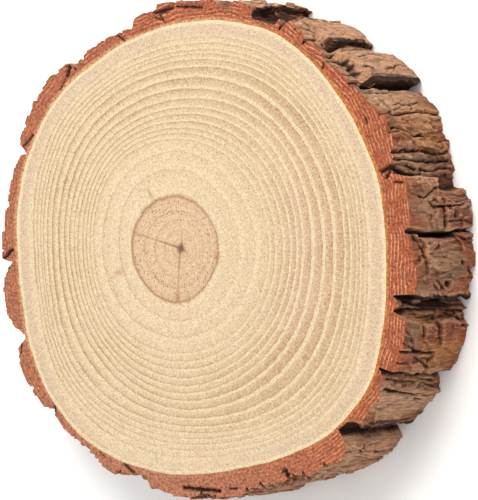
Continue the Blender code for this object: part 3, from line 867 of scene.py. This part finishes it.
def sawn_marks(points):
    """How deep, in mm, a mark in the sawn bark reaches at each point."""
    x = points[:, 0] / MM - PITH_X
    y = points[:, 1] / MM - PITH_Y
    deepest = np.zeros(len(points))
    wobble = 0.5 * rough(np.degrees(np.arctan2(y, x)), np.hypot(x, y), 2.5, 2.5, 351, 3)
    for angle, radius, end_angle, end_radius, half_width, depth in SAWN_MARKS:
        start_x, start_y = on_spoke(radius, angle)
        end_x, end_y = on_spoke(end_radius, end_angle)
        _, away = beside_line(x - start_x, y - start_y, end_x - start_x, end_y - start_y)
        away += wobble * half_width
        deepest = np.maximum(deepest, depth * np.exp(-(away / half_width) ** 2))
    return deepest


bpy.ops.object.select_all(action="DESELECT")
profile_rows = SIDE_ROWS + BASE_ROWS + INNER_ROWS + SAWN_ROWS
bpy.ops.mesh.primitive_grid_add(x_subdivisions=SHEET_ROUND, y_subdivisions=profile_rows,
                                size=2.0)
bark = bpy.context.object
bark.name = "bark_ring"
sheet = mesh_points(bark.data)
angles = (sheet[:, 0] + 1) / 2 * 360
row = np.round((sheet[:, 1] + 1) / 2 * profile_rows)

side_share = np.clip(row / SIDE_ROWS, 0, 1)
base_share = np.clip((row - SIDE_ROWS) / BASE_ROWS, 0, 1)
inner_share = np.clip((row - SIDE_ROWS - BASE_ROWS) / INNER_ROWS, 0, 1)
sawn_share = np.clip((row - SIDE_ROWS - BASE_ROWS - INNER_ROWS) / SAWN_ROWS, 0, 1)
depths = side_share * TOP * (1 - inner_share)
outside = read_chart(outside_chart, angles, side_share * TOP)
outside_top = read_chart(outside_chart, angles, np.zeros(len(angles)))
inside = wood_edge(angles) + BARK_TO_WOOD
radii = outside + (inside - outside) * base_share
radii = np.where(sawn_share > 0, inside + (outside_top - inside) * sawn_share, radii)
lean = jut(angles, np.where(row <= SIDE_ROWS, depths, TOP), outside)
angles = angles + lean * np.where(row <= SIDE_ROWS, 1.0, 1 - base_share) * (sawn_share == 0)
points = cartesian(angles, radii, depths)
on_top = (sawn_share > 0) & (sawn_share < 1)
points[:, 2] -= on_top * sawn_marks(points) * MM
low, high = (np.array(corner) for corner in solid_box)
move_points(bark.data, np.clip(points, low, high))

bpy.ops.object.mode_set(mode="EDIT")
bpy.ops.mesh.select_all(action="SELECT")
bpy.ops.mesh.remove_doubles(threshold=1e-7)
bpy.ops.mesh.normals_make_consistent(inside=False)
bpy.ops.object.mode_set(mode="OBJECT")
thinner = bark.modifiers.new("fewer_triangles", "DECIMATE")
bark.data.calc_loop_triangles()
thinner.ratio = MAX_TRIANGLES / len(bark.data.loop_triangles)
bpy.ops.object.modifier_apply(modifier=thinner.name)
move_points(bark.data, np.clip(mesh_points(bark.data), low, high))
bpy.ops.object.shade_smooth_by_angle(angle=BARK_CREASE)

# How sharply the layers and the inner bark show on the saw cuts, every 30 degrees from +X.
LAYERS_SHOW = (1.0, 1.0, 0.95, 0.8, 0.6, 0.45, 0.35, 0.35, 0.2, 0.1, 0.5, 0.95)
INNER_SHOWS = (0.85, 0.9, 0.8, 0.8, 0.85, 0.75, 0.6, 0.5, 0.15, 0.05, 0.25, 0.75)

# Where each point of the finished bark lies: how far out from the wood, how deep in a crack or a
# furrow, which sets its painted shade and highlight, how yellow, grey, red or pale the cork there
# is, and where shadow is painted under the lips of plates.
points = mesh_points(bark.data)
angles, radii, depths = polar(points)
marked = sawn_marks(points) * (depths < MARK_WALLS)
write_attributes(
    bark.data,
    crevice=read_chart(crevice_chart, angles, depths),
    furrow=read_chart(furrow_chart, angles, depths),
    tone=read_chart(scale_tone, angles, depths),
    from_wood=radii - wood_edge(angles),
    yellow=patches_at(angles, depths, YELLOW_PATCHES, 34, 44, 301),
    grey=patches_at(angles, depths, GREY_PATCHES, 30, 50, 311),
    red=patches_at(angles, depths, RED_PATCHES, 22, 30, 321),
    pale=patches_at(angles, depths, PALE_PATCHES, 40, 60, 331),
    calm=patches_at(angles, depths, CALM_PATCHES, 26, 60, 341),
    dark=patches_at(angles, depths, PAINTED_SHADOW_PATCHES, 20, 50, 361, drifts=0.0),
    mark=marked,
    layers_show=loop_at(LAYERS_SHOW, angles),
    inner_shows=loop_at(INNER_SHOWS, angles),
    orange=np.clip(1.6 * np.cos(np.radians(angles)) + 0.1, 0, 1))

# Cork of the bark's outside: dry, matt, brown, greyer where it is old, redder where a scale has
# just come off, with fine streaks along the trunk. Painted shade makes it nearly black deep in the
# furrows, and painted highlight makes it paler where it stands out.
weathered_cork = new_material("weathered_cork")
place = add_node(weathered_cork, "TexCoord", output="Object")
crevice, furrow, dark, calm, scale_tone, yellow, grey, red, pale = (
    add_node(weathered_cork, "Attribute", output="Fac", attribute_name=name)
    for name in ("crevice", "furrow", "dark", "calm", "tone", "yellow", "grey", "red", "pale"))
long_grain = add_node(weathered_cork, "Mapping", {"Vector": place, "Scale": (1.0, 1.0, 0.16)})
middle, fine = (
    add_node(weathered_cork, "TexNoise", {"Vector": long_grain, "Scale": grains(size),
                                          "Detail": 4.0, "Roughness": roughness})
    for size, roughness in ((5.0, 0.6), (1.111, 0.65)))
# Thin flakes, each a fraction of a millimetre thick, end in steps 3 to 8 mm apart.
flake_place = add_node(weathered_cork, "Mapping", {"Vector": place, "Scale": (1.0, 1.0, 0.2)})
flakes = add_node(weathered_cork, "TexNoise", {"Vector": flake_place, "Scale": grains(10.53),
                                               "Detail": 5.0, "Roughness": 0.55})
flakes = add_node(weathered_cork, "Math", (flakes, 11.0), operation="MULTIPLY")
flake_level = add_node(weathered_cork, "Math", (flakes,), operation="FLOOR")
flake_part = add_node(weathered_cork, "Math", (flakes,), operation="FRACT")
flake_rise = add_node(weathered_cork, "MapRange", (flake_part, 0.86, 1.0),
                      interpolation_type="SMOOTHSTEP")
# Painted shade darkens the foot of each step, and painted highlight lightens the edge on top of
# it.
flake_foot_shade = add_node(weathered_cork, "MapRange", (flake_part, 0.66, 0.86, 0.0, 0.75))
flake_edge_highlight = add_node(weathered_cork, "MapRange", (flake_part, 0.0, 0.10, 0.5, 0.0))
flaky = add_node(weathered_cork, "Math", (calm, -0.75, 1.0), operation="MULTIPLY_ADD")
flakes_on = add_node(weathered_cork, "TexNoise",
                     {"Vector": place, "Scale": grains(16.67), "Detail": 3.0})
flakes_on = add_node(weathered_cork, "MapRange", (flakes_on, 0.40, 0.58))
flakes_on = add_node(weathered_cork, "Math", (flakes_on, flaky), operation="MULTIPLY")

# Every scale has a brown of its own, from dull and dark to warm and light.
streaks = add_node(weathered_cork, "MapRange", (middle, 0.35, 0.65))
cork_colour = add_node(weathered_cork, "MixRGB", (streaks, linear("6C3D26"), linear("935C3E")))
scale_gain = add_node(weathered_cork, "ValToRGB", (scale_tone,), stops=(
    (0.0, (0.72, 0.68, 0.66, 1)), (0.25, (1.05, 0.90, 0.82, 1)), (0.5, (0.95, 0.97, 1.0, 1)),
    (0.75, (1.18, 1.10, 1.02, 1)), (1.0, (1.25, 1.18, 1.05, 1))))
cork_colour = add_node(weathered_cork, "MixRGB", (0.85, cork_colour, scale_gain),
                       blend_type="MULTIPLY")
# Patches of yellow, grey, red and pale cork, then the painted shade and painted highlight of the
# flakes' steps.
for amount, strength, shade in (
        (yellow, 0.55, "A8733F"), (grey, 0.6, "7E6350"), (red, 0.8, "7E402B"),
        (pale, 0.72, "BA9173"), (flake_foot_shade, flakes_on, "2E1A12"),
        (flake_edge_highlight, flakes_on, "C49A78")):
    amount = add_node(weathered_cork, "Math", (amount, strength), operation="MULTIPLY")
    cork_colour = add_node(weathered_cork, "MixRGB", (amount, cork_colour, linear(shade)))
# Painted highlight: what stands out is painted pale. Painted shade: cracks, furrows and hollows
# are painted nearly black, and so are the painted shadows under the lips of plates.
for where, start, end, strength, shade in (
        (crevice, -0.05, -0.55, 0.45, "BC9070"), (crevice, 0.05, 0.75, 0.9, "28160F"),
        (furrow, 0.7, 2.5, 0.9, "28160F"), (dark, 0.1, 0.9, 0.85, "28160F")):
    amount = add_node(weathered_cork, "MapRange", (where, start, end, 0.0, strength))
    cork_colour = add_node(weathered_cork, "MixRGB", (amount, cork_colour, linear(shade)))
fine_gain = add_node(weathered_cork, "MapRange", (fine, 0.3, 0.7, 0.55, 1.4))
cork_colour = add_node(weathered_cork, "MixRGB", (1.0, cork_colour, fine_gain),
                       blend_type="MULTIPLY")

relief = add_node(weathered_cork, "Math", (middle, 1.5, fine), operation="MULTIPLY_ADD")
flake_height = add_node(weathered_cork, "Math", (flake_level, flake_rise), operation="ADD")
flake_height = add_node(weathered_cork, "Math", (flake_height, 0.5), operation="MULTIPLY")
relief = add_node(weathered_cork, "Math", (flake_height, flaky, relief),
                  operation="MULTIPLY_ADD")
bump = add_node(weathered_cork, "Bump", {"Height": relief, "Strength": 1.0, "Distance": 0.9 * MM})
surface = add_node(weathered_cork, "BsdfPrincipled",
                   {"Base Color": cork_colour, "Normal": bump, "Roughness": 0.92,
                    "Specular IOR Level": 0.2})
add_node(weathered_cork, "OutputMaterial", {"Surface": surface})

# The same bark cut across by the saw: red-brown cork in thin layers with pale lines between them,
# 1.8 mm apart, speckled where the saw tore it, and a strip of orange inner bark against the wood.
LAYER_SPACING = 1.8
LAYER_COLOURS = ((0.0, "D3A284"), (0.14, "AC6241"), (0.34, "985237"), (0.46, "622F20"),
                 (0.54, "9B5438"), (0.70, "A75D3C"), (0.80, "763C28"), (0.90, "AA6645"),
                 (1.0, "C4875F"))
sawn_cork = new_material("sawn_cork")
place = add_node(sawn_cork, "TexCoord", output="Object")
from_wood, layers_show, inner_shows, orange, mark = (
    add_node(sawn_cork, "Attribute", output="Fac", attribute_name=name)
    for name in ("from_wood", "layers_show", "inner_shows", "orange", "mark"))
sway, drift, bright, fine = (
    add_node(sawn_cork, "TexNoise", {"Vector": place, "Scale": grains(size), "Detail": detail})
    for size, detail in ((18.18, 3.0), (58.82, 1.0), (6.25, 3.0), (1.25, 3.0)))
layer = add_node(sawn_cork, "Math", (sway, 7.0, from_wood), operation="MULTIPLY_ADD")
layer = add_node(sawn_cork, "Math", (drift, 9.0, layer), operation="MULTIPLY_ADD")
layer = add_node(sawn_cork, "Math", (layer, LAYER_SPACING), operation="DIVIDE")
layer = add_node(sawn_cork, "Math", (layer,), operation="FRACT")
layer_colour = add_node(sawn_cork, "ValToRGB", (layer,),
                        stops=[(spot, linear(shade)) for spot, shade in LAYER_COLOURS])
bright = add_node(sawn_cork, "MapRange", (bright, 0.38, 0.58))
bright = add_node(sawn_cork, "Math", (bright, layers_show), operation="MULTIPLY")
plain = add_node(sawn_cork, "MixRGB", (layers_show, linear("9C6850"), linear("904C30")))
sawn_colour = add_node(sawn_cork, "MixRGB", (bright, plain, layer_colour))
inner_bark = add_node(sawn_cork, "Math", (drift, 2.4, from_wood), operation="MULTIPLY_ADD")
inner_bark = add_node(sawn_cork, "MapRange", (inner_bark, 2.0, 3.4, 1.0, 0.0))
inner_bark = add_node(sawn_cork, "Math", (inner_bark, inner_shows), operation="MULTIPLY")
inner_colour = add_node(sawn_cork, "MixRGB", (orange, linear("C29168"), linear("AE6E35")))
sawn_colour = add_node(sawn_cork, "MixRGB", (inner_bark, sawn_colour, inner_colour))
fine_gain = add_node(sawn_cork, "MapRange", (fine, 0.32, 0.68, 0.55, 1.45))
sawn_colour = add_node(sawn_cork, "MixRGB", (1.0, sawn_colour, fine_gain), blend_type="MULTIPLY")
# The marks are painted nearly black the deeper they go: the knots' own dark colour, and painted
# shade down in the slits and cracks.
mark = add_node(sawn_cork, "MapRange", (mark, MARK_SEEN, 1.2, 0.0, 0.9))
sawn_colour = add_node(sawn_cork, "MixRGB", (mark, sawn_colour, linear("2A150E")))
relief = add_node(sawn_cork, "Math", (layer, fine), operation="ADD")
bump = add_node(sawn_cork, "Bump", {"Height": relief, "Strength": 0.35, "Distance": 0.5 * MM})
surface = add_node(sawn_cork, "BsdfPrincipled",
                   {"Base Color": sawn_colour, "Normal": bump, "Roughness": 0.85,
                    "Specular IOR Level": 0.2})
add_node(sawn_cork, "OutputMaterial", {"Surface": surface})

# The saw cuts are the flat faces within this distance of the upper face and the base.
CUT_SKIN = 0.2
FLAT = 0.8
bark.data.materials.append(weathered_cork)
bark.data.materials.append(sawn_cork)
sawn_faces = []
for polygon in bark.data.polygons:
    z, slope = polygon.center.z, polygon.normal.z
    on_cut = abs(slope) > FLAT and (z > (TOP - CUT_SKIN) * MM or z < CUT_SKIN * MM)
    in_mark = (z > (TOP - MARK_WALLS) * MM and slope > 0.1
               and marked[polygon.vertices[0]] > MARK_SEEN)
    sawn_faces.append(1 if on_cut or in_mark else 0)
bark.data.polygons.foreach_set("material_index", sawn_faces)

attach(bark, "root")
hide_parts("bark")
